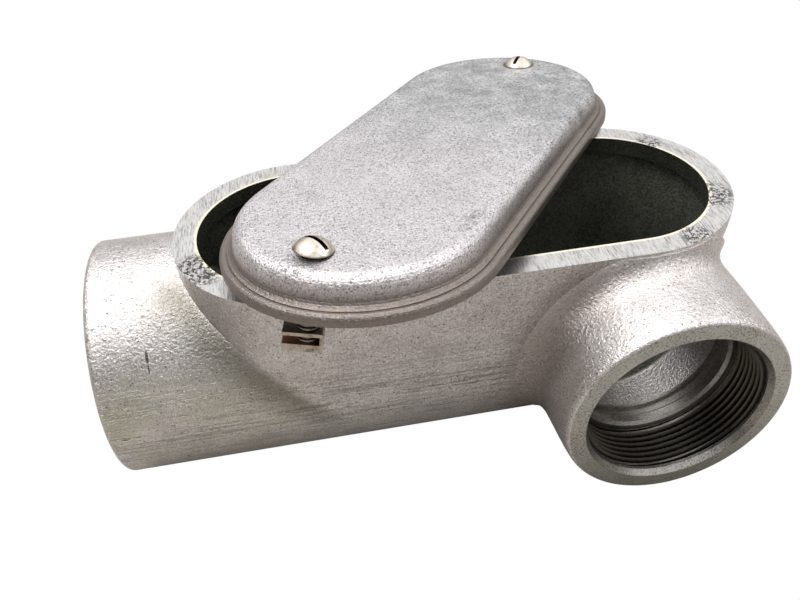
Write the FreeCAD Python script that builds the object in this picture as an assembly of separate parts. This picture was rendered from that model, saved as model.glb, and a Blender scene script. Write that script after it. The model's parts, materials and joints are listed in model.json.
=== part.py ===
import FreeCAD, Part
import math
import os

V = FreeCAD.Vector
X, Y, Z = V(1, 0, 0), V(0, 1, 0), V(0, 0, 1)

# Millimetres. The origin is where the end hub's thread starts, behind its mouth chamfer.
# X runs along the trough, Z is up, the side hub faces -Y.

# oval rim and trough
rim_length = 187.0
rim_width = 81.0
rim_face = 7.75            # width of the machined band round the opening
rim_height = 44.0          # rim plane above the hub axes
rim_lip = 6.0              # depth of the opening's straight edge
end_hub_reach = 28.2       # from the end hub's face to the rim's end
wall = 5.0
end_wall_draw = 5.0        # how far the right end wall draws in under the rim

# hubs, 2-inch trade size
side_hub_inset = 37.2      # from the rim's right end to the side hub's axis
side_hub_reach = 66.5      # trough centre plane to the side hub's face
side_hub_r = 37.3
side_hub_draft = 1.1       # growth of the side hub's radius at the trough wall
thread_r = 29.4
mouth_r = 30.7
mouth_chamfer = 2.0
thread_depth = 19.5
bushing_r = 26.2
bushing_width = 4.6
groove_r = 28.2
groove_width = 3.6
throat_r = 26.6
hub_edge_r = 2.2
side_blend = 9.0
side_blend_way = 125.0      # where round the side hub the blend is full, degrees up from +X
side_blend_full = 65.0     # to either side of that
side_blend_fade = 45.0
hub_dome_r = 14.0
hub_dome_y = -3.0          # where the side hub's solid ends inside the trough

# cover, lying turned across the rim and tipped back on it
cover_length = 197.5
cover_width = 86.3
cover_rise = 11.8
cover_turn = 53.6          # degrees from the trough's axis
cover_tip = 5.55           # degrees, back edge down on the rim
cover_dx, cover_dy = -0.9, 21.4
cover_bead_r = 1.7
cover_cove_r = 2.4
cover_crown_r = 4.2
cover_hollow_inset = 8.6
cover_skin = 3.4
lug_at = 70.0              # centring lugs under the cover, from its middle
lug_width = 28.0
lug_thick = 6.0
seat = 0.25                # cast faces bed this far into each other where the cover rests

# screws and clips
screw_pitch = 164.3
shank_r = 3.1
shank_length = 31.6
head_r = 5.8
head_rise = 3.2
slot_width = 1.4
slot_depth = 1.5
slot_angles = (-46.0, 50.0)
turning_gap = 0.08         # running clearance between a screw and its clip
hole_r = 4.0               # the cover's screw holes are loose, so a screw can hang crooked
screw_leans = (10.5, 0.0)  # degrees that each screw hangs out of square
screw_lean_way = 192.0     # which way the leaning screw's lower end points, degrees from +X
clip_strip = 1.1
clip_nut = 2.4             # thickness of the clip's threaded lower leg
clip_width = 8.0
clip_height = 6.2
clip_long_side = 7.2       # from the screw's axis to the legs' free ends
clip_short_side = 4.6      # from the screw's axis to the web's outer face
clip_end_gap = 0.6         # screw end below the clip
clip_turns = (-9.0, cover_turn + 180)     # which way each clip's web points

half = rim_width / 2
face_x = -mouth_chamfer
rim_mid = face_x + end_hub_reach + rim_length / 2
cap_left = rim_mid - rim_length / 2 + half
cap_right = rim_mid + rim_length / 2 - half
side_hub_x = rim_mid + rim_length / 2 - side_hub_inset
# how the right end wall draws in: (share of the rim's height, share of the draw)
end_stations = [(0.0, 1.0), (0.22, 0.93), (0.5, 0.62), (0.78, 0.14), (1.0, 0.0)]
room = rim_length + side_hub_reach        # half size of the cutting blocks, beyond any part


def obround(x0, x1, r, z0, z1):
    """Upright prism with round ends centred on x0 and x1."""
    a, b, c, d = V(x0, -r, z0), V(x1, -r, z0), V(x1, r, z0), V(x0, r, z0)
    edges = [Part.makeLine(a, b), Part.Arc(b, V(x1 + r, 0, z0), c).toShape(),
             Part.makeLine(c, d), Part.Arc(d, V(x0 - r, 0, z0), a).toShape()]
    return Part.Face(Part.Wire(edges)).extrude(V(0, 0, z1 - z0))


def block(z0, z1):
    """Cutting block over everything between two heights."""
    return Part.makeBox(2 * room, 2 * room, z1 - z0, V(rim_mid - room, -room, z0))


def end_centre(z):
    """X of the right end's centre at a height: it draws in below the rim."""
    t = min(max(z / rim_height, 0.0), 1.0)
    for (t0, k0), (t1, k1) in zip(end_stations, end_stations[1:]):
        if t <= t1:
            return cap_right - end_wall_draw * (k0 + (k1 - k0) * (t - t0) / (t1 - t0))


def end_section(r, x0, z):
    """Plan of the trough's right end at one height."""
    x = end_centre(z)
    return Part.Wire([Part.makeLine(V(x0, r, z), V(x, r, z)),
                      Part.Arc(V(x, r, z), V(x + r, 0, z), V(x, -r, z)).toShape(),
                      Part.makeLine(V(x, -r, z), V(x0, -r, z)), Part.makeLine(V(x0, -r, z), V(x0, r, z))])


def trough_solid(inset, top):
    """Walls, half-round bottom and both rounded ends, grown inwards by inset."""
    r = half - inset
    x0 = cap_right - 1.4 * end_wall_draw
    a, b, c, d = (V(cap_left, -r, 0), V(x0, -r, 0), V(x0, r, 0), V(cap_left, r, 0))
    plan = Part.Wire([Part.makeLine(a, b), Part.makeLine(b, c), Part.makeLine(c, d),
                      Part.Arc(d, V(cap_left - r, 0, 0), a).toShape()])
    walls = Part.Face(plan).extrude(V(0, 0, rim_height))
    end = Part.makeLoft([end_section(r, x0, rim_height * t) for t, k in end_stations], True, False)
    below = block(-room, 0)
    bottom = Part.makeCylinder(r, end_centre(0) - cap_left, V(cap_left, 0, 0), X).common(below)
    balls = [Part.makeSphere(r, V(x, 0, 0)).common(below) for x in (cap_left, end_centre(0))]
    solid = walls.fuse([end, bottom] + balls)
    if top < rim_height:
        solid = solid.cut(block(top, room))
    return solid


def revolved(points, start, axis):
    """Closed profile of (along, radius) points turned round the axis from start."""
    across = Z
    pts = [start + axis * s + across * r for s, r in points]
    face = Part.Face(Part.makePolygon(pts + pts[:1]))
    return face.revolve(start, axis, 360)


def hub_bore(start, axis, reach):
    """Tool for a hub: mouth chamfer, thread bore, bushing ring, groove and throat."""
    b0 = thread_depth
    b1 = b0 + bushing_width
    b2 = b1 + groove_width
    nose = 1.0
    return revolved([(-5, 0), (-5, mouth_r), (0, mouth_r), (mouth_chamfer, thread_r), (b0, thread_r),
                     (b0, bushing_r + nose), (b0 + nose, bushing_r), (b1 - nose, bushing_r),
                     (b1, bushing_r + nose), (b1, groove_r), (b2, groove_r),
                     (b2, throat_r), (reach, throat_r), (reach, 0)], start, axis)


def wall_depth(x, z):
    """Y of the trough's front surface at a point seen from the side hub."""
    r = half
    if z < 0:
        r = math.sqrt(max(half ** 2 - z ** 2, 1.0))
    k = max(min((x - end_centre(z)) / r, 0.93), 0.0)
    return -r * math.sqrt(1 - k * k)


def side_hub():
    """Drafted hub whose root flares into the trough wall above and to the left."""
    root_r = side_hub_r + side_hub_draft
    wall_at = side_hub_reach - half
    stops = [1.2, 0.75, 0.4, 0.15, 0.0]
    count = 24
    swell = 3 / (2 + math.cos(2 * math.pi / count))
    table = []
    for j in range(count):
        angle = 2 * math.pi * j / count - math.pi / 2
        ca, sa = math.cos(angle), math.sin(angle)
        turn = abs((math.degrees(angle) - side_blend_way + 180) % 360 - 180)
        share = 1 - min(max((turn - side_blend_full) / side_blend_fade, 0), 1)
        share = share * share * (3 - 2 * share)
        foot = wall_depth(side_hub_x + root_r * ca, root_r * sa)
        blend = side_blend * share
        column = [(-side_hub_reach, side_hub_r - hub_edge_r),
                  (-side_hub_reach, side_hub_r - 0.4 * hub_edge_r),
                  (hub_edge_r * 0.6 - side_hub_reach, side_hub_r)]
        for k in stops:
            back = side_blend * k
            grow = 0.0
            if back < blend:
                grow = blend - math.sqrt(blend ** 2 - (blend - back) ** 2)
            y = foot - back
            base = root_r - side_hub_draft * max(-half - y, 0) / wall_at - max(y + half, 0) ** 2 / 160
            column.append((y, base + grow))
        column.append((foot + 2.5, column[-1][1] - 1.5))
        column.append((hub_dome_y, hub_dome_r))
        table.append([V(side_hub_x + r * swell * ca, y, r * swell * sa) for y, r in column])
    rows, cols = len(table), len(table[0])
    side = Part.BSplineSurface()
    side.buildFromPolesMultsKnots(table, [1] * (rows + 1), [4] + [1] * (cols - 4) + [4],
                                  list(range(rows + 1)), list(range(cols - 2)), True, False, 3, 3)
    cuts = [0, rows // 3, 2 * rows // 3, rows]
    faces = []
    for k in range(3):
        piece = side.copy()
        piece.segment(cuts[k], cuts[k + 1], 0, cols - 3)
        faces.append(piece.toShape())
    for y in (-side_hub_reach, hub_dome_y):
        rim = [e for f in faces for e in f.Edges
               if e.BoundBox.YLength < 0.001 and abs(e.BoundBox.YMin - y) < 0.01]
        faces.append(Part.Face(Part.Wire(Part.sortEdges(rim)[0])))
    shell = Part.Shell(faces)
    shell.sewShape()
    return Part.makeSolid(shell)


def body_casting():
    trough = trough_solid(0.0, rim_height)
    end_face, side_face = V(face_x, 0, 0), V(side_hub_x, -side_hub_reach, 0)
    end_hub = Part.makeCylinder(half, cap_left - face_x, end_face, X)
    end_hub = end_hub.makeFillet(hub_edge_r, [e for e in end_hub.Edges if e.BoundBox.XMax < face_x + 0.1])
    outer = trough.fuse([end_hub, side_hub().cut(block(rim_height - 0.8, room))]).removeSplitter()
    inner = trough_solid(wall, rim_height - rim_lip)
    mouth = half - rim_face
    opening = obround(cap_left, cap_right, mouth, rim_height - rim_lip - 4, rim_height + 5)
    body = outer.cut([inner, opening, hub_bore(end_face, X, cap_left - face_x),
                      hub_bore(side_face, Y, side_hub_reach)])
    return body


def place_on_rim(shape):
    """Turn a shape from the cover's own axes to where the cover lies on the rim."""
    shape.rotate(V(0, 0, 0), Z, cover_turn)
    shape.translate(V(rim_mid + cover_dx, cover_dy, rim_height - seat))
    shape.rotate(V(0, half, rim_height - seat), X, -cover_tip)
    return shape


def oval_sweep(points, half_length, r):
    """Solid with a round-ended plan whose edge follows (inset, height) points."""
    flat = half_length - r
    section = Part.Face(Part.makePolygon([V(0, -(r - i), h) for i, h in points]
                                         + [V(0, 0, points[-1][1]), V(0, 0, points[0][1]),
                                            V(0, -(r - points[0][0]), points[0][1])]))
    left, right, middle = section.copy(), section.copy(), section.copy()
    left.translate(V(-flat, 0, 0))
    right.translate(V(flat, 0, 0))
    middle.translate(V(-flat, 0, 0))
    near = middle.extrude(V(2 * flat, 0, 0))
    far = near.mirror(V(0, 0, 0), Y)
    ends = [left.revolve(V(-flat, 0, 0), Z, -180), right.revolve(V(flat, 0, 0), Z, 180)]
    return near.fuse([far] + ends).removeSplitter()


def arc_points(centre, r, a0, a1, steps):
    out = []
    for k in range(steps + 1):
        a = math.radians(a0 + (a1 - a0) * k / steps)
        out.append((centre[0] + r * math.cos(a), centre[1] + r * math.sin(a)))
    return out


def cover_casting():
    """Domed cover: bead round the flange, cove, wall, rounded crown, centring lugs beneath."""
    r = cover_width / 2
    b, c, k = cover_bead_r, cover_cove_r, cover_crown_r
    wall_inset = 2 * b + 1.0
    bead = arc_points((b, b), b, 180, 60, 6)
    cove = arc_points((wall_inset - c, 2 * b + 2.3), c, -77, 0, 4)
    crown = arc_points((wall_inset + 0.4 + k, cover_rise - k), k, 172, 90, 7)
    outer = oval_sweep([(0.0, 0.0)] + bead + cove + crown, cover_length / 2, r)
    flat = cover_length / 2 - r
    hollow = obround(-flat, flat, r - cover_hollow_inset, -1, cover_rise - cover_skin)
    cover = outer.cut(hollow)
    drop = (2 * half - rim_face) * math.sin(math.radians(cover_tip))
    for x in (-lug_at, lug_at):
        cover = cover.fuse(Part.makeBox(lug_thick, lug_width, drop + cover_rise - 1.5,
                                        V(x - lug_thick / 2, -lug_width / 2, -drop)))
    for x in (-screw_pitch / 2, screw_pitch / 2):
        cover = cover.cut(Part.makeCylinder(hole_r, 3 * cover_rise, V(x, 0, -cover_rise)))
    return place_on_rim(cover.removeSplitter())


def hang_in_hole(shape, end):
    """Lay a shape made about its screw's axis, z = 0 at the head's seat, in the cover's hole."""
    way = math.radians(screw_lean_way - cover_turn)
    towards = V(math.cos(way), math.sin(way), 0)
    shape.rotate(towards * -head_r, towards.cross(Z), screw_leans[end])
    shape.translate(V((2 * end - 1) * screw_pitch / 2, 0, cover_rise))
    return place_on_rim(shape)


def screw(end):
    """Round-head machine screw through the cover, head on the cover's top."""
    ball = (head_r ** 2 + head_rise ** 2) / (2 * head_rise)
    head = Part.makeSphere(ball, V(0, 0, head_rise - ball))
    head = head.common(Part.makeCylinder(head_r + 1, head_rise + 1))
    slot = Part.makeBox(4 * head_r, slot_width, 10, V(-2 * head_r, -slot_width / 2, head_rise - slot_depth))
    slot.rotate(V(0, 0, 0), Z, slot_angles[end] - cover_turn)
    shank = Part.makeCylinder(shank_r, shank_length, V(0, 0, -shank_length))
    shank = shank.makeChamfer(0.2 * shank_r, [e for e in shank.Edges if e.BoundBox.ZMax < 0.1 - shank_length])
    return hang_in_hole(head.cut(slot).fuse(shank).removeSplitter(), end)


def clip(end):
    """Steel strip folded to a U round a thick threaded lower leg, carried on the screw."""
    top = clip_end_gap + clip_height - shank_length
    w, h, t = clip_width, clip_height, clip_strip
    length = clip_long_side + clip_short_side
    outer = Part.makeBox(length, w, h, V(-clip_long_side, -w / 2, -h))
    edges = [e for e in outer.Edges if e.BoundBox.XMin > clip_short_side - 0.1 and e.BoundBox.ZLength < 0.1]
    outer = outer.makeFillet(0.9, edges)
    gap = Part.makeBox(2 * length - t, 2 * w, h - t - clip_nut, V(-clip_long_side - length, -w, clip_nut - h))
    shape = outer.cut(gap)
    shape = shape.cut(Part.makeCylinder(shank_r + turning_gap, 4 * h, V(0, 0, -2 * h)))
    shape.rotate(V(0, 0, 0), Z, clip_turns[end] - cover_turn)
    shape.translate(V(0, 0, top))
    return hang_in_hole(shape, end)


def main():
    os.makedirs("parts", exist_ok=True)
    nodes = {"body_casting": body_casting(), "cover_casting": cover_casting(),
             "screw_near": screw(0), "screw_far": screw(1), "clip_near": clip(0), "clip_far": clip(1)}
    for name, shape in nodes.items():
        shape.exportStep("parts/" + name + ".step")
        print(name, shape.isValid(), len(shape.Solids), round(shape.Volume / 1000, 2), shape.BoundBox)


main()
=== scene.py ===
import json
import math

import bpy
from mathutils import Matrix, Vector


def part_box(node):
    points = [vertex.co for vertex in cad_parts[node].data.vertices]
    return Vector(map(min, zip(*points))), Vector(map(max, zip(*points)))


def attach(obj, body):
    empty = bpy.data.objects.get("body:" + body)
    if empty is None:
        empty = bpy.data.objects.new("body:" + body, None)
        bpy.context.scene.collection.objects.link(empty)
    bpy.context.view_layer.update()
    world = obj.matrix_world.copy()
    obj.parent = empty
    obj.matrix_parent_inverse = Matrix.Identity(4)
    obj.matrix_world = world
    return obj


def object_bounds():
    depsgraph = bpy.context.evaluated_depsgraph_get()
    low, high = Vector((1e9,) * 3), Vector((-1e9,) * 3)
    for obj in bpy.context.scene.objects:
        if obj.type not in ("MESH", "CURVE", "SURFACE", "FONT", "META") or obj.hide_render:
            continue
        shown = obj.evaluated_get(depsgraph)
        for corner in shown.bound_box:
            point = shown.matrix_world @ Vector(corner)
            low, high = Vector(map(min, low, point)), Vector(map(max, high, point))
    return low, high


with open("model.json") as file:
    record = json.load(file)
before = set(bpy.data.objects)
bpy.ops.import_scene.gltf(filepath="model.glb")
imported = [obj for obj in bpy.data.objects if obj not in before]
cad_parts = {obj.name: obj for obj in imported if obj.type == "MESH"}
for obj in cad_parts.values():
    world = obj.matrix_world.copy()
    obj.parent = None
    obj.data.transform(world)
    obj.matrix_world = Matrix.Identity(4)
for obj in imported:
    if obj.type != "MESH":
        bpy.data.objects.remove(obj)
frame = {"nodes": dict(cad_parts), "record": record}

cadLow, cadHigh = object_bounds()
bodyLow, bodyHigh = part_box("body_casting")
mounts = {m["name"]: m for m in frame["record"]["mounts"]}
joints = {j["name"]: j for j in frame["record"]["behaviour"]["joints"]}

# places that the materials need, in millimetres of the part's own frame
rim = {"height": bodyHigh.z * 1000, "radius": -bodyLow.z * 1000, "band": 7.75, "left": 66.7}
rim["right"] = bodyHigh.x * 1000 - rim["radius"]
hubs = [(Vector(mounts[n]["pos_m"]) * 1000, Vector(mounts[n]["axis"])) for n in ("end_hub", "side_hub")]
seats = [Vector(joints[n]["pos_m"]) * 1000 for n in ("screw_near_turn", "screw_far_turn")]
coverMiddle = (seats[0] + seats[1]) / 2
coverAlong = (seats[1] - seats[0]).normalized()
coverUp = -Vector(joints["screw_far_turn"]["axis"]).normalized()  # the near screw hangs crooked
coverAcross = coverUp.cross(coverAlong)


# helpers for node trees

def srgb(text):  # "#rrggbb" to the linear colour that a socket takes
    channels = [int(text[k:k + 2], 16) / 255 for k in (1, 3, 5)]
    return [c / 12.92 if c < 0.04045 else ((c + 0.055) / 1.055) ** 2.4 for c in channels] + [1.0]


def addNode(tree, kind, inputs=None, **settings):
    node = tree.nodes.new("ShaderNode" + kind)
    for name, value in settings.items():
        setattr(node, name, value)
    for name, value in (inputs or {}).items():
        if isinstance(value, bpy.types.NodeSocket):
            tree.links.new(value, node.inputs[name])
        else:
            node.inputs[name].default_value = value
    return node


def maths(tree, operation, a, b=0.0):
    return addNode(tree, "Math", {0: a, 1: b}, operation=operation).outputs[0]


def vector(tree, operation, a, b):
    node = addNode(tree, "VectorMath", {0: a, 1: b}, operation=operation)
    return node.outputs["Value" if operation == "DOT_PRODUCT" else "Vector"]


def length(tree, a):
    return addNode(tree, "VectorMath", {0: a}, operation="LENGTH").outputs["Value"]


def step(tree, value, low, high):  # 0 at low, 1 at high, smooth between; low may be the larger
    flipped = low > high
    node = addNode(tree, "MapRange", {"Value": value, "From Min": min(low, high), "From Max": max(low, high),
                                      "To Min": 1.0 if flipped else 0.0, "To Max": 0.0 if flipped else 1.0},
                   interpolation_type="SMOOTHSTEP")
    return node.outputs["Result"]


def both(tree, *masks):
    total = masks[0]
    for mask in masks[1:]:
        total = maths(tree, "MULTIPLY", total, mask)
    return total


def mix(tree, amount, a, b, blend="MIX"):
    node = addNode(tree, "MixRGB", {"Fac": amount, "Color1": a, "Color2": b}, blend_type=blend)
    return node.outputs["Color"]


def tint(tree, pattern, mask, tone, blend="MIX"):  # a tone is a colour and how far it covers
    colour, share = tone
    covered = maths(tree, "MULTIPLY", mask, share)
    pattern["colour"] = mix(tree, covered, pattern["colour"], srgb(colour), blend)


def dent(tree, pattern, mask, depth):  # depth in metres
    pattern["height"] = maths(tree, "SUBTRACT", pattern["height"], maths(tree, "MULTIPLY", mask, depth))


def blend(tree, amount, a, b):  # the same as mix, for plain numbers
    return maths(tree, "ADD", maths(tree, "MULTIPLY", amount, b),
                 maths(tree, "MULTIPLY", maths(tree, "SUBTRACT", 1.0, amount), a))


def noise(tree, place, size, detail=3.0, rough=0.6, stretch=(1, 1, 1)):  # size in mm
    squeezed = vector(tree, "MULTIPLY", place, [1 / (size * s) for s in stretch])
    return addNode(tree, "TexNoise", {"Vector": squeezed, "Scale": 1.0, "Detail": detail,
                                      "Roughness": rough}).outputs["Fac"]


def dots(tree, place, size, share):  # small round marks, one in each chosen cell
    squeezed = vector(tree, "MULTIPLY", place, [1 / size] * 3)
    cells = addNode(tree, "TexVoronoi", {"Vector": squeezed, "Scale": 1.0})
    drawn = addNode(tree, "SeparateXYZ", {0: cells.outputs["Color"]}).outputs["X"]
    chosen = step(tree, drawn, share, share - 0.01)
    return both(tree, chosen, step(tree, cells.outputs["Distance"], 0.5, 0.3))


def newMaterial(name):
    material = bpy.data.materials.new(name)
    material.use_nodes = True
    tree = material.node_tree
    place = vector(tree, "MULTIPLY", addNode(tree, "TexCoord").outputs["Object"], (1000, 1000, 1000))
    return material, tree, tree.nodes["Principled BSDF"], place  # place is in millimetres


def wear(node, material):
    for slot in frame["nodes"][node].material_slots:
        slot.material = material


def radial(tree, place, origin, axis):  # distance from a line
    return length(tree, vector(tree, "CROSS_PRODUCT", vector(tree, "SUBTRACT", place, origin), axis))


def along(tree, place, origin, axis):
    return vector(tree, "DOT_PRODUCT", vector(tree, "SUBTRACT", place, origin), axis)


# sand-cast aluminium, shared by body and cover

cast = {
    "light": "#dbd5d2", "dark": "#b8b1ab", "blotchSize": 13,
    "speck": "#5d5853", "speckShare": 0.42, "grainSize": 0.8,
    "fineSize": 0.36, "shade": (0.7, 1.22), "depth": 0.0003,
    "glint": ("#ffffff", 0.5), "glintSize": 0.8, "glints": 0.3,
    "pore": ("#3b3a35", 0.8), "poreSize": 0.7, "pores": 0.05,
    "peelSize": 1.1, "peelDepth": 0.00026, "roughness": 0.3,
}
coverCast = dict(
    cast, light="#dcd9d9", dark="#b9b8b8", speck="#45443f", speckShare=0.7, grainSize=0.85,
    fineSize=0.42, shade=(0.5, 1.4), glintSize=0.7, poreSize=0.75, pores=0.3,
    peelSize=1.0, peelDepth=0.00012, roughness=0.37,
)
machined = {"light": "#cdcbc7", "dark": "#85827d", "size": 0.3, "roughness": 0.34, "depth": 0.00003}
mouthFace = {"light": "#bab8b1", "dark": "#6a685f", "size": 0.7, "roughness": 0.42, "depth": 0.0001}
bored = {"light": "#a5a19a", "dark": "#595550", "size": 0.5, "roughness": 0.36, "depth": 0.00005}
# painted shade: the inside is coloured darker than the outside
insideShade = {"light": "#73746a", "dark": "#4a4b42", "roughness": 0.6, "grainSize": 0.9, "depth": 0.0006}


def castPattern(tree, place, values):
    grain = noise(tree, place, values["grainSize"], 4, 0.65)
    fine = noise(tree, place, values["fineSize"], 2, 0.6)
    blotch = noise(tree, place, values["blotchSize"], 5, 0.65)
    tone = mix(tree, maths(tree, "MULTIPLY", step(tree, blotch, 0.35, 0.7), 0.55),
               srgb(values["light"]), srgb(values["dark"]))
    pattern = {"colour": tone}
    tint(tree, pattern, step(tree, grain, 0.57, 0.64), (values["speck"], values["speckShare"]))
    low, high = values["shade"]
    shade = addNode(tree, "MapRange", {"Value": fine, "From Min": 0.32, "From Max": 0.68,
                                       "To Min": low, "To Max": high}).outputs["Result"]
    pattern["colour"] = mix(tree, 1.0, pattern["colour"], shade, "MULTIPLY")
    tint(tree, pattern, dots(tree, place, values["glintSize"], values["glints"]), values["glint"])
    tint(tree, pattern, dots(tree, place, values["poreSize"], values["pores"]), values["pore"])
    pattern["rough"] = maths(tree, "ADD", maths(tree, "MULTIPLY", fine, 0.2), values["roughness"] - 0.1)
    height = maths(tree, "SUBTRACT", maths(tree, "MULTIPLY", fine, 0.3), grain)
    peel = maths(tree, "MULTIPLY", noise(tree, place, values["peelSize"], 2, 0.5), values["peelDepth"])
    pattern["height"] = maths(tree, "ADD", maths(tree, "MULTIPLY", height, values["depth"]), peel)
    return pattern


def machinedPattern(tree, place, values, stretch):
    lines = noise(tree, place, values["size"], 3, 0.7, stretch)
    mottled = maths(tree, "ADD", lines, maths(tree, "MULTIPLY", noise(tree, place, 9, 4, 0.7), 0.3))
    colour = mix(tree, step(tree, mottled, 0.58, 0.86), srgb(values["light"]), srgb(values["dark"]))
    rough = maths(tree, "ADD", maths(tree, "MULTIPLY", lines, 0.15), values["roughness"] - 0.08)
    return {"colour": colour, "rough": rough, "height": maths(tree, "MULTIPLY", lines, values["depth"])}


def insideShadePattern(tree, place, values):
    grain = noise(tree, place, values["grainSize"], 4, 0.6)
    cloud = noise(tree, place, 12, 3)
    colour = mix(tree, step(tree, maths(tree, "ADD", grain, maths(tree, "MULTIPLY", cloud, 0.4)), 0.5, 0.9),
                 srgb(values["dark"]), srgb(values["light"]))
    rough = maths(tree, "ADD", maths(tree, "MULTIPLY", grain, 0.1), values["roughness"])
    return {"colour": colour, "rough": rough, "height": maths(tree, "MULTIPLY", grain, values["depth"])}


def over(tree, mask, low, high):  # one pattern over another
    return {"colour": mix(tree, mask, low["colour"], high["colour"]),
            "rough": blend(tree, mask, low["rough"], high["rough"]),
            "height": blend(tree, mask, low["height"], high["height"])}


def finishMetal(tree, shader, pattern, metallic):
    tree.links.new(pattern["colour"], shader.inputs["Base Color"])
    tree.links.new(pattern["rough"], shader.inputs["Roughness"])
    shader.inputs["Metallic"].default_value = metallic
    # the height is already in metres
    relief = addNode(tree, "Bump", {"Height": pattern["height"], "Distance": 1.0, "Strength": 1.0})
    tree.links.new(relief.outputs["Normal"], shader.inputs["Normal"])


bodyTones = {
    "scored": ("#6e6a63", 0.45), "oliveShade": ("#b7b79a", 0.5), "root": ("#7f6f66", 0.62),
    "creaseShade": ("#6d6957", 0.7), "under": ("#8a857a", 0.35), "nick": ("#35342c", 0.85),
    "lipShade": ("#2b2c26", 0.6), "lowFaceShade": ("#5f5d54", 0.65), "edge": ("#efe6d2", 1.0), "pit": ("#33332c", 0.9),
}
bodyDents = {"scored": 0.00022, "nick": 0.000255, "pit": 0.0002}  # metres
creaseLine = {"through": Vector((40, 0, 25)), "way": Vector((-0.713, 0, -0.701))}
nicks = [  # middles and half sizes in mm
    ((15.9, -31.8, 25), (0.45, 6, 1.9)), ((15.9, -34, 22), (0.25, 6, 1.6)),
    ((3.9, -40.5, -0.2), (1.6, 4, 0.35)), ((20, -37, -16), (0.3, 5, 1.2)),
]
pits = [  # middles and reaches in mm, all on the rim's flat band
    ((34.5, -17, 44), 11), ((203, -14, 44), 10), ((198, 24, 44), 6), ((188, -35, 44), 7),
]


def makeBodyMetal():
    material, tree, shader, place = newMaterial("castBody")
    split = addNode(tree, "SeparateXYZ", {0: place}).outputs
    x, y, z = split["X"], split["Y"], split["Z"]
    pattern = castPattern(tree, place, cast)

    # long drag marks along the trough, lower down its side
    drag = noise(tree, place, 0.8, 4, 0.7, (34, 1, 1))
    low = both(tree, step(tree, z, 26, -4), step(tree, x, 150, 125))
    scored = both(tree, step(tree, drag, 0.5, 0.62), low)
    tint(tree, pattern, scored, bodyTones["scored"])
    dent(tree, pattern, scored, bodyDents["scored"])

    # painted shade: olive low on the end hub, and warm and dark by the side hub's root
    cloud = noise(tree, place, 24, 4, 0.6)
    oliveShade = both(tree, step(tree, x, 95, 10), step(tree, z, 30, 4), step(tree, cloud, 0.3, 0.6))
    tint(tree, pattern, oliveShade, bodyTones["oliveShade"])
    sideCentre, sideAxis = hubs[1]
    root = both(tree, step(tree, radial(tree, place, sideCentre, sideAxis), 56, 39),
                step(tree, y, -56, -42), step(tree, x, sideCentre.x - 8, sideCentre.x - 28))
    tint(tree, pattern, root, bodyTones["root"])

    # painted shade where the end hub meets the trough, and underneath
    aside = along(tree, place, creaseLine["through"], creaseLine["way"])
    creaseShade = both(tree, step(tree, aside, 15, 1), step(tree, aside, -3, 0.5),
                  step(tree, y, -6, -20), step(tree, z, -14, 6))
    tint(tree, pattern, creaseShade, bodyTones["creaseShade"])
    tint(tree, pattern, step(tree, z, -8, -30), bodyTones["under"])
    for spot, sizes in nicks:
        away = vector(tree, "DIVIDE", vector(tree, "SUBTRACT", place, spot), sizes)
        nick = step(tree, length(tree, away), 1.0, 0.6)
        tint(tree, pattern, nick, bodyTones["nick"])
        dent(tree, pattern, nick, bodyDents["nick"])

    # distance from the oval's centre line, flat in plan above the hub axes and round below
    past = maths(tree, "SUBTRACT",
                 maths(tree, "MAXIMUM", maths(tree, "SUBTRACT", x, rim["right"]), 0.0),
                 maths(tree, "MAXIMUM", maths(tree, "SUBTRACT", rim["left"], x), 0.0))
    deep = maths(tree, "MINIMUM", z, 0.0)
    outward = addNode(tree, "CombineXYZ", {0: past, 1: y, 2: deep}).outputs[0]
    oval = length(tree, outward)

    # the inside is the surface within the wall that doesn't face outward; its darker colours are painted
    # shade
    facing = vector(tree, "DOT_PRODUCT", outward, addNode(tree, "TexCoord").outputs["Normal"])
    facing = maths(tree, "DIVIDE", facing, maths(tree, "MAXIMUM", oval, 1.0))
    inner = both(tree, step(tree, oval, rim["radius"] - 2.5, rim["radius"] - 4),
                 step(tree, facing, 0.35, 0.15))
    pattern = over(tree, inner, pattern, insideShadePattern(tree, place, insideShade))
    # painted shade on the lip just inside the opening
    lipShade = both(tree, step(tree, oval, 33.8, 33.2), step(tree, z, 36, 38))
    tint(tree, pattern, lipShade, bodyTones["lipShade"])

    # machined zones: hub mouths and threads, and the rim's flat band
    for centre, axis in hubs:
        depth = along(tree, place, centre, axis)
        bore = both(tree, step(tree, radial(tree, place, centre, axis), 31.0, 30.8),
                    step(tree, depth, -27, -26.5))
        face = step(tree, depth, 1.8, 1.95)
        pattern = over(tree, face, pattern, machinedPattern(tree, place, mouthFace, (1, 1, 1)))
        pattern = over(tree, bore, pattern, machinedPattern(tree, place, bored, (1, 1, 1)))
        # painted shade: the lower part of each hub face coloured darker
        tint(tree, pattern, both(tree, face, step(tree, z, 8, -34)), bodyTones["lowFaceShade"])
    flat = step(tree, z, rim["height"] - 0.15, rim["height"] - 0.05)
    pattern = over(tree, flat, pattern, machinedPattern(tree, place, machined, (1, 14, 1)))

    # painted highlight as a ragged bright edge round the opening, and pits in the band
    edge = maths(tree, "ADD", rim["radius"] - rim["band"] + 0.2,
                 maths(tree, "MULTIPLY", noise(tree, place, 1.2), 1.2))
    raggedHighlight = both(tree, flat, step(tree, maths(tree, "SUBTRACT", oval, edge), 0.15, -0.1))
    tint(tree, pattern, raggedHighlight, bodyTones["edge"])
    pocked = step(tree, noise(tree, place, 1.3, 5, 0.75), 0.5, 0.56)
    for spot, reach in pits:
        near = step(tree, length(tree, vector(tree, "SUBTRACT", place, spot)), reach, reach * 0.4)
        pitted = both(tree, near, pocked, flat)
        tint(tree, pattern, pitted, bodyTones["pit"])
        dent(tree, pattern, pitted, bodyDents["pit"])
    finishMetal(tree, shader, pattern, 0.92)
    return material


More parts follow.
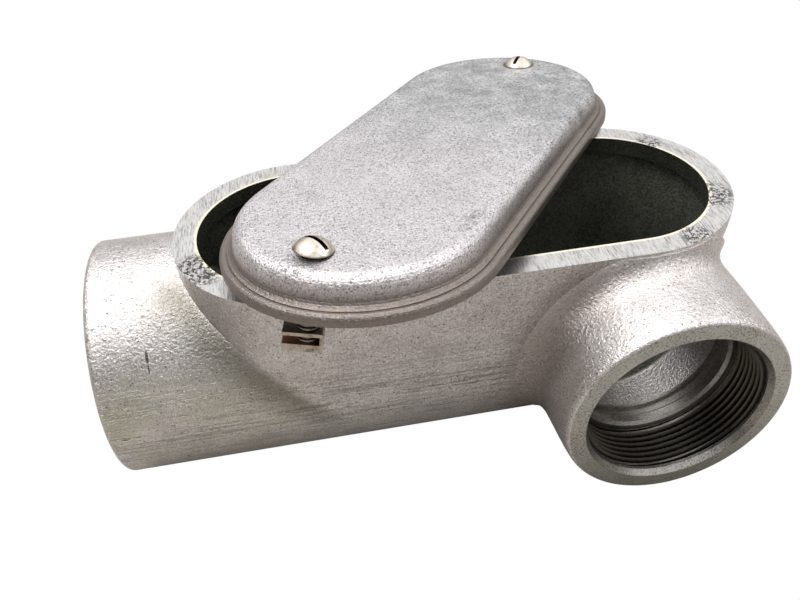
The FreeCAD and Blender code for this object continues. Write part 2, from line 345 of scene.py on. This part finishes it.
coverTones = {"warm": ("#dccfd0", 0.3), "cool": ("#a9afae", 0.75), "loweredShade": ("#776c62", 0.85),
              "ring": ("#2a2824", 0.75)}
stainColour = "#4a4c4c"
stains = [  # middle of each stain along and across the cover, its half sizes in mm, how dark
    (-90, 1.5, 4, 8, 0.8), (-50, -33, 9, 3, 0.55), (4, -34, 16, 3, 0.5), (48, -15, 10, 8, 0.4),
    (62, -24, 7, 5, 0.5), (30, -36, 4, 3, 0.5), (40, 6, 22, 14, 0.25), (-20, 14, 26, 12, 0.2),
]


def makeCoverMetal():
    material, tree, shader, place = newMaterial("castCover")
    pattern = castPattern(tree, place, coverCast)
    u = along(tree, place, coverMiddle, coverAlong)
    v = along(tree, place, coverMiddle, coverAcross)
    tint(tree, pattern, step(tree, u, 25, -45), coverTones["warm"])
    cool = both(tree, step(tree, u, -25, 60), step(tree, noise(tree, place, 9, 5, 0.7), 0.3, 0.7))
    tint(tree, pattern, cool, coverTones["cool"], "MULTIPLY")
    # painted shade: the cover coloured darker where it lies lower, on its flange and underside
    loweredShade = step(tree, along(tree, place, coverMiddle, coverUp), -3.5, -8.5)
    tint(tree, pattern, loweredShade, coverTones["loweredShade"])
    dirt = step(tree, noise(tree, place, 2.2, 5, 0.75), 0.46, 0.62)
    for atU, atV, sizeU, sizeV, dark in stains:
        du = maths(tree, "DIVIDE", maths(tree, "SUBTRACT", u, atU), sizeU)
        dv = maths(tree, "DIVIDE", maths(tree, "SUBTRACT", v, atV), sizeV)
        away = length(tree, addNode(tree, "CombineXYZ", {0: du, 1: dv}).outputs[0])
        tint(tree, pattern, both(tree, step(tree, away, 1.25, 0.4), dirt), (stainColour, dark))
    # painted shadow: a dark ring round each screw seat
    for seat in seats:
        ring = both(tree, step(tree, radial(tree, place, seat, coverUp), 6.9, 6.0),
                    step(tree, along(tree, place, seat, coverUp), -0.6, -0.2))
        tint(tree, pattern, ring, coverTones["ring"])
    finishMetal(tree, shader, pattern, 0.9)
    return material


wear("body_casting", makeBodyMetal())
wear("cover_casting", makeCoverMetal())
print("cast metal done")


# screws and clips

screwMetal = {"light": "#e0d6c6", "dark": "#998b75", "slot": "#2a2218", "roughness": 0.25, "markSize": 1.6,
              "slotHalf": 0.78, "slotFloor": 1.5, "slotWays": (-46.0, 50.0),
              "pitch": 1.27, "threadDepth": 0.0007}
clipMetal = {"light": "#b9b0a2", "dark": "#4a3d32", "inner": "#b58d7a", "roughness": 0.32, "markSize": 2.4,
             "gap": (-28.65, -25.85), "web": 3.45, "ways": (-9.0, 233.6)}


def plated(tree, place, values):
    marks = noise(tree, place, values["markSize"], 5, 0.7)
    return {"colour": mix(tree, step(tree, marks, 0.45, 0.75), srgb(values["light"]), srgb(values["dark"])),
            "rough": maths(tree, "ADD", maths(tree, "MULTIPLY", marks, 0.2), values["roughness"] - 0.08),
            "height": maths(tree, "MULTIPLY", noise(tree, place, 0.4, 3), 0.00003)}


def squareTo(up, degrees):  # plan direction laid square to an axis
    plan = Vector((math.cos(math.radians(degrees)), math.sin(math.radians(degrees)), 0))
    return (plan - up * plan.dot(up)).normalized()


def makeScrewSteel(name, seat, up, slotWay):
    material, tree, shader, place = newMaterial(name)
    pattern = plated(tree, place, screwMetal)
    slotSide = squareTo(up, slotWay).cross(up)
    height = along(tree, place, seat, up)
    beside = maths(tree, "ABSOLUTE", along(tree, place, seat, slotSide))
    inSlot = both(tree, step(tree, beside, screwMetal["slotHalf"], screwMetal["slotHalf"] - 0.1),
                  step(tree, height, screwMetal["slotFloor"] - 0.2, screwMetal["slotFloor"]))
    # painted shade: dark in the slot and just under the head
    tint(tree, pattern, inSlot, (screwMetal["slot"], 1.0))
    tint(tree, pattern, step(tree, height, 0.45, 0.1), (screwMetal["slot"], 0.7))  # under the head

    # rolled thread on the shank, as a helical bump
    a, b = sideways(up)
    angle = maths(tree, "ARCTAN2", along(tree, place, seat, a), along(tree, place, seat, b))
    turns = maths(tree, "ADD", maths(tree, "DIVIDE", height, screwMetal["pitch"]),
                  maths(tree, "DIVIDE", angle, 2 * math.pi))
    ridge = maths(tree, "PINGPONG", turns, 0.5)
    threaded = step(tree, height, -4.0, -4.6)
    pattern["height"] = maths(tree, "ADD", pattern["height"],
                              maths(tree, "MULTIPLY", both(tree, threaded, ridge), screwMetal["threadDepth"]))
    # painted shade: dark in the thread's roots
    root = both(tree, threaded, step(tree, ridge, 0.2, 0.05))
    tint(tree, pattern, root, (screwMetal["slot"], 0.7))
    finishMetal(tree, shader, pattern, 1.0)
    return material


def makeClipSteel(name, seat, up, way):
    material, tree, shader, place = newMaterial(name)
    pattern = plated(tree, place, clipMetal)
    height = along(tree, place, seat, up)
    low, high = clipMetal["gap"]
    outOfWeb = along(tree, place, seat, squareTo(up, way))
    between = both(tree, step(tree, height, low - 0.1, low), step(tree, height, high + 0.1, high),
                   step(tree, outOfWeb, clipMetal["web"] + 0.15, clipMetal["web"]))
    tint(tree, pattern, between, (clipMetal["inner"], 0.9))
    finishMetal(tree, shader, pattern, 1.0)
    return material


def sideways(axis):  # two directions square to the axis
    a = axis.orthogonal().normalized()
    return a, axis.cross(a)


for k, which in enumerate(("near", "far")):
    up = -Vector(joints["screw_" + which + "_turn"]["axis"]).normalized()
    wear("screw_" + which, makeScrewSteel("nickelScrew_" + which, seats[k], up, screwMetal["slotWays"][k]))
    wear("clip_" + which, makeClipSteel("springClip_" + which, seats[k], up, clipMetal["ways"][k]))
print("steel done")


# thread ridges in both hubs

pipeThread = {"pitch": 2.209, "depth": 1.25, "crest": 0.1, "root": 29.42, "start": -1.2, "turns": 7.4,
              "steps": 72, "fadeIn": 0.35, "fadeOut": 0.8,
              "light": "#57534a", "dark": "#0e0d09"}


def ridgeMesh(name, centre, axis, values):  # V-shaped helical ridge standing in from the bore's wall
    a, b = sideways(axis)
    pitch, depth, crest = values["pitch"], values["depth"], values["crest"]
    profile = [(-pitch / 2, 0), (-crest, depth), (crest, depth), (pitch / 2, 0)]
    count = int(values["turns"] * values["steps"])
    points, faces = [], []
    for k in range(count + 1):
        turned = k / values["steps"]
        fade = min(1, turned / values["fadeIn"], (values["turns"] - turned) / values["fadeOut"])
        angle = 2 * math.pi * turned
        out = a * math.cos(angle) + b * math.sin(angle)
        for shift, height in profile:
            place = centre + axis * (values["start"] - turned * pitch + shift * max(fade, 0.05))
            points.append((place + out * (values["root"] - height * fade)) / 1000)
    across = len(profile)
    for k in range(count):
        for j in range(across - 1):
            faces.append((k * across + j, k * across + j + 1, (k + 1) * across + j + 1, (k + 1) * across + j))
    mesh = bpy.data.meshes.new(name)
    mesh.from_pydata([tuple(p) for p in points], [], faces)
    mesh.validate()
    piece = bpy.data.objects.new(name, mesh)
    bpy.context.collection.objects.link(piece)
    return piece


def makeThreadMetal():
    material, tree, shader, place = newMaterial("cutThread")
    reach = [radial(tree, place, centre, axis) for centre, axis in hubs]
    nearest = maths(tree, "MINIMUM", reach[0], reach[1])
    # painted shade: the pipe thread is coloured dark, darkest at its roots by the wall
    mottled = maths(tree, "ADD", nearest, maths(tree, "MULTIPLY", noise(tree, place, 1.5, 4), 0.5))
    colour = mix(tree, step(tree, mottled, 29.35, 28.5), srgb(pipeThread["dark"]), srgb(pipeThread["light"]))
    rough = maths(tree, "ADD", maths(tree, "MULTIPLY", noise(tree, place, 0.5), 0.2), 0.28)
    height = maths(tree, "MULTIPLY", noise(tree, place, 0.5, 3), 0.00005)
    finishMetal(tree, shader, {"colour": colour, "rough": rough, "height": height}, 0.95)
    return material


threadMetal = makeThreadMetal()
for name, (centre, axis) in zip(("thread_end_hub", "thread_side_hub"), hubs):
    ridge = ridgeMesh(name, centre, axis, pipeThread)
    ridge.data.materials.append(threadMetal)
    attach(ridge, "body")
print("threads done")


# floor, light and camera

stage = {"floor": "#b4afa9", "size": 6.0, "above": "#fbfcff", "level": "#4c4845", "world": 1.35}
shot = {"place": (0.0678, -0.2136, 0.1859), "azimuth": -8.31, "elevation": 39.75, "roll": -3.01,
        "lens": 34.92}
lamps = [
    {"name": "key", "from": (-0.4, 0.08, 1.1), "size": 0.6, "power": 7, "colour": "#ffffff"},
    {"name": "side", "from": (0.9, -0.1, 0.8), "size": 0.6, "power": 2, "colour": "#fffaf8"},
]


def whiteToCamera(tree, shaderOut, output, kind):
    glow = addNode(tree, kind, {"Color": srgb("#ffffff"), "Strength": 1.0})
    seen = addNode(tree, "LightPath").outputs["Is Camera Ray"]
    chosen = addNode(tree, "MixShader", {0: seen, 1: shaderOut, 2: glow.outputs[0]})
    tree.links.new(chosen.outputs[0], tree.nodes[output].inputs["Surface"])


def makeFloor():
    mesh = bpy.data.meshes.new("floor")
    s = stage["size"] / 2
    corners = [(-s, -s, cadLow.z), (s, -s, cadLow.z), (s, s, cadLow.z), (-s, s, cadLow.z)]
    mesh.from_pydata(corners, [], [(0, 1, 2, 3)])
    floor = bpy.data.objects.new("floor", mesh)
    bpy.context.collection.objects.link(floor)
    material, tree, shader, place = newMaterial("floorWhite")
    shader.inputs["Base Color"].default_value = srgb(stage["floor"])
    shader.inputs["Roughness"].default_value = 0.9
    whiteToCamera(tree, shader.outputs[0], "Material Output", "Emission")
    mesh.materials.append(material)


def makeWorld():
    world = bpy.data.worlds.new("studio")
    bpy.context.scene.world = world
    world.use_nodes = True
    tree = world.node_tree
    soft = tree.nodes["Background"]
    way = addNode(tree, "SeparateXYZ", {0: addNode(tree, "TexCoord").outputs["Generated"]}).outputs
    height = maths(tree, "ADD", way["Z"], maths(tree, "MULTIPLY", way["Y"], 0.2))
    height = maths(tree, "ADD", height, maths(tree, "MULTIPLY", way["X"], 0.12))
    sky = mix(tree, step(tree, height, 0.08, 0.72), srgb(stage["level"]), srgb(stage["above"]))
    tree.links.new(sky, soft.inputs["Color"])
    soft.inputs["Strength"].default_value = stage["world"]
    whiteToCamera(tree, soft.outputs[0], "World Output", "Background")


def makeLamps():
    centre = (cadLow + cadHigh) / 2
    for lamp in lamps:
        data = bpy.data.lights.new(lamp["name"], "AREA")
        data.size = lamp["size"]
        data.energy = lamp["power"]
        data.color = srgb(lamp["colour"])[:3]
        light = bpy.data.objects.new(lamp["name"], data)
        bpy.context.collection.objects.link(light)
        light.location = centre + Vector(lamp["from"])
        light.rotation_euler = (-Vector(lamp["from"])).to_track_quat("-Z", "Y").to_euler()


def makeCamera():
    a, e, r = (math.radians(shot[k]) for k in ("azimuth", "elevation", "roll"))
    back = Vector((math.sin(a) * math.cos(e), -math.cos(a) * math.cos(e), math.sin(e)))
    level = Vector((math.cos(a), math.sin(a), 0))
    up = back.cross(level)
    right = math.cos(r) * level + math.sin(r) * up
    up = math.cos(r) * up - math.sin(r) * level
    data = bpy.data.cameras.new("camera")
    data.lens = shot["lens"]
    data.sensor_width = 36
    data.clip_start, data.clip_end = 0.01, 20
    camera = bpy.data.objects.new("camera", data)
    bpy.context.collection.objects.link(camera)
    camera.matrix_world = Matrix.Translation(shot["place"]) @ Matrix((right, up, back)).transposed().to_4x4()
    bpy.context.scene.camera = camera


makeFloor()
makeWorld()
makeLamps()
makeCamera()
bpy.context.scene.view_settings.view_transform = "Standard"
print("stage done")
